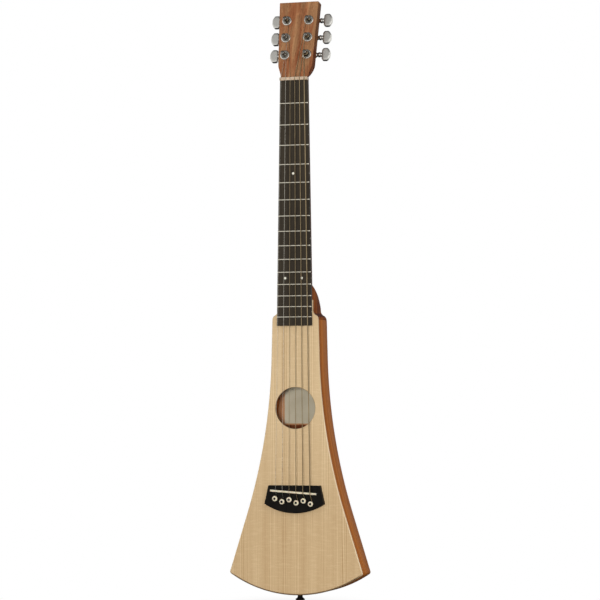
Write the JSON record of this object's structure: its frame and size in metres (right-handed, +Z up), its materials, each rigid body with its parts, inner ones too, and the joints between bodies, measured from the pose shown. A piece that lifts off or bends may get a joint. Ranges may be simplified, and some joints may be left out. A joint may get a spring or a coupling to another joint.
{
  "type": "travel guitar",
  "caption": "Slim travel acoustic guitar with a narrow flared body, round sound hole, pinned bridge, fretted neck and worm-geared tuners, strung left-handed.",
  "frame": {"origin": "on the centre line of the fingerboard's face at the nut's front edge, where a wall hanger's yoke takes the neck below the head", "axes": "+Z up the neck towards the head, +Y towards the instrument's back, +X to the bass side"},
  "size_m": [0.2062, 0.0587, 0.8971],
  "materials": {
    "spruce": "satin",
    "mahogany": "satin",
    "dark_wood": "satin",
    "brace_wood": "matte",
    "ivory_plastic": "satin",
    "black_plastic": "satin",
    "fret_nickel": "polished",
    "chrome": "polished",
    "steel": "polished",
    "bronze_wire": "satin",
    "paper": "matte"
  },
  "bodies": {
    "guitar": {"soundboard": "spruce", "body_sides": "mahogany", "back_plate": "mahogany", "neck": "mahogany", "fingerboard": "dark_wood", "nut": "ivory_plastic", "bridge": "dark_wood", "bridge_plate": "brace_wood", "upper_brace": "brace_wood", "lower_brace": "brace_wood", "tail_block": "mahogany", "paper_label": "paper", "strap_button": "black_plastic", "strap_button_screw": "steel", "saddle": "ivory_plastic", "fret_1": "fret_nickel", "fret_2": "fret_nickel", "fret_3": "fret_nickel", "fret_4": "fret_nickel", "fret_5": "fret_nickel", "fret_6": "fret_nickel", "fret_7": "fret_nickel", "fret_8": "fret_nickel", "fret_9": "fret_nickel", "fret_10": "fret_nickel", "fret_11": "fret_nickel", "fret_12": "fret_nickel", "fret_13": "fret_nickel", "fret_14": "fret_nickel", "fret_15": "fret_nickel", "bridge_pin_e": "ivory_plastic", "string_e": "steel", "bridge_pin_b": "ivory_plastic", "string_b": "steel", "bridge_pin_g": "ivory_plastic", "string_g": "bronze_wire", "bridge_pin_d": "ivory_plastic", "string_d": "bronze_wire", "bridge_pin_a": "ivory_plastic", "string_a": "bronze_wire", "bridge_pin_low_e": "ivory_plastic", "string_low_e": "bronze_wire", "tuner_housing_bass_1": "chrome", "tuner_housing_bass_2": "chrome", "tuner_housing_bass_3": "chrome", "tuner_housing_treble_1": "chrome", "tuner_housing_treble_2": "chrome", "tuner_housing_treble_3": "chrome"},
    "knob_bass_1": {"tuner_knob_bass_1": "chrome"},
    "post_bass_1": {"tuner_post_bass_1": "chrome"},
    "knob_bass_2": {"tuner_knob_bass_2": "chrome"},
    "post_bass_2": {"tuner_post_bass_2": "chrome"},
    "knob_bass_3": {"tuner_knob_bass_3": "chrome"},
    "post_bass_3": {"tuner_post_bass_3": "chrome"},
    "knob_treble_1": {"tuner_knob_treble_1": "chrome"},
    "post_treble_1": {"tuner_post_treble_1": "chrome"},
    "knob_treble_2": {"tuner_knob_treble_2": "chrome"},
    "post_treble_2": {"tuner_post_treble_2": "chrome"},
    "knob_treble_3": {"tuner_knob_treble_3": "chrome"},
    "post_treble_3": {"tuner_post_treble_3": "chrome"}
  },
  "joints": [
    {"name": "knob_turn_bass_1", "type": "hinge", "parent": "guitar", "child": "knob_bass_1", "pos_m": [0.0172, 0.03412, 0.04113], "axis": [1, 0, 0], "continuous": true},
    {"name": "post_turn_bass_1", "type": "hinge", "parent": "guitar", "child": "post_bass_1", "pos_m": [0.0172, 0.0114, 0.03982], "axis": [0, -0.9781, 0.2079], "continuous": true},
    {"name": "knob_turn_bass_2", "type": "hinge", "parent": "guitar", "child": "knob_bass_2", "pos_m": [0.0172, 0.03975, 0.06764], "axis": [1, 0, 0], "continuous": true},
    {"name": "post_turn_bass_2", "type": "hinge", "parent": "guitar", "child": "post_bass_2", "pos_m": [0.0172, 0.01704, 0.06633], "axis": [0, -0.9781, 0.2079], "continuous": true},
    {"name": "knob_turn_bass_3", "type": "hinge", "parent": "guitar", "child": "knob_bass_3", "pos_m": [0.0172, 0.04539, 0.09414], "axis": [1, 0, 0], "continuous": true},
    {"name": "post_turn_bass_3", "type": "hinge", "parent": "guitar", "child": "post_bass_3", "pos_m": [0.0172, 0.02267, 0.09284], "axis": [0, -0.9781, 0.2079], "continuous": true},
    {"name": "knob_turn_treble_1", "type": "hinge", "parent": "guitar", "child": "knob_treble_1", "pos_m": [-0.0172, 0.03412, 0.04113], "axis": [1, 0, 0], "continuous": true},
    {"name": "post_turn_treble_1", "type": "hinge", "parent": "guitar", "child": "post_treble_1", "pos_m": [-0.0172, 0.0114, 0.03982], "axis": [0, -0.9781, 0.2079], "continuous": true},
    {"name": "knob_turn_treble_2", "type": "hinge", "parent": "guitar", "child": "knob_treble_2", "pos_m": [-0.0172, 0.03975, 0.06764], "axis": [1, 0, 0], "continuous": true},
    {"name": "post_turn_treble_2", "type": "hinge", "parent": "guitar", "child": "post_treble_2", "pos_m": [-0.0172, 0.01704, 0.06633], "axis": [0, -0.9781, 0.2079], "continuous": true},
    {"name": "knob_turn_treble_3", "type": "hinge", "parent": "guitar", "child": "knob_treble_3", "pos_m": [-0.0172, 0.04539, 0.09414], "axis": [1, 0, 0], "continuous": true},
    {"name": "post_turn_treble_3", "type": "hinge", "parent": "guitar", "child": "post_treble_3", "pos_m": [-0.0172, 0.02267, 0.09284], "axis": [0, -0.9781, 0.2079], "continuous": true}
  ],
  "couplings": [
    {"joint": "post_turn_bass_1", "follows": "knob_turn_bass_1", "ratio": 0.071429},
    {"joint": "post_turn_bass_2", "follows": "knob_turn_bass_2", "ratio": 0.071429},
    {"joint": "post_turn_bass_3", "follows": "knob_turn_bass_3", "ratio": 0.071429},
    {"joint": "post_turn_treble_1", "follows": "knob_turn_treble_1", "ratio": 0.071429},
    {"joint": "post_turn_treble_2", "follows": "knob_turn_treble_2", "ratio": 0.071429},
    {"joint": "post_turn_treble_3", "follows": "knob_turn_treble_3", "ratio": 0.071429}
  ]
}
